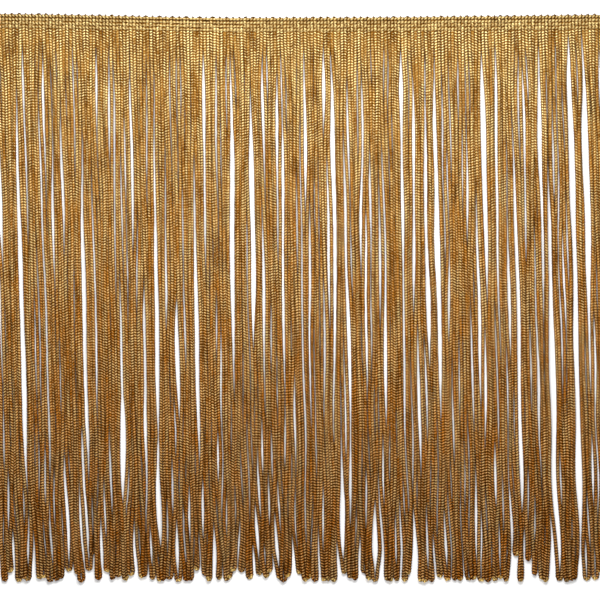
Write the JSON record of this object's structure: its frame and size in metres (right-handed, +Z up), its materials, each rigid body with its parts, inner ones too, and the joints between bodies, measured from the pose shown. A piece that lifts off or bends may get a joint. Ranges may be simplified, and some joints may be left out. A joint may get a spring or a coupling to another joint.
{
  "type": "chainette fringe trim",
  "caption": "Cut length of chainette fringe trim lying flat: a narrow crocheted heading with scalloped edge and long looped knitted cords running down from it.",
  "frame": {"origin": "middle of the floor rectangle that the flat trim covers, on the surface it lies on", "axes": "+X along the heading, +Y across the trim from the fringe's tips to the heading, +Z up out of the trim's face"},
  "size_m": [0.3482, 0.305, 0.0029],
  "materials": {
    "heading_yarn": "lustrous old gold rayon yarn, crocheted in four rows of chain stitches",
    "chainette": "lustrous old gold rayon yarn, knitted into a fine round chain cord"
  },
  "bodies": {
    "root": {"heading_band": "heading_yarn", "chainette_skirt": "chainette"}
  },
  "joints": []
}
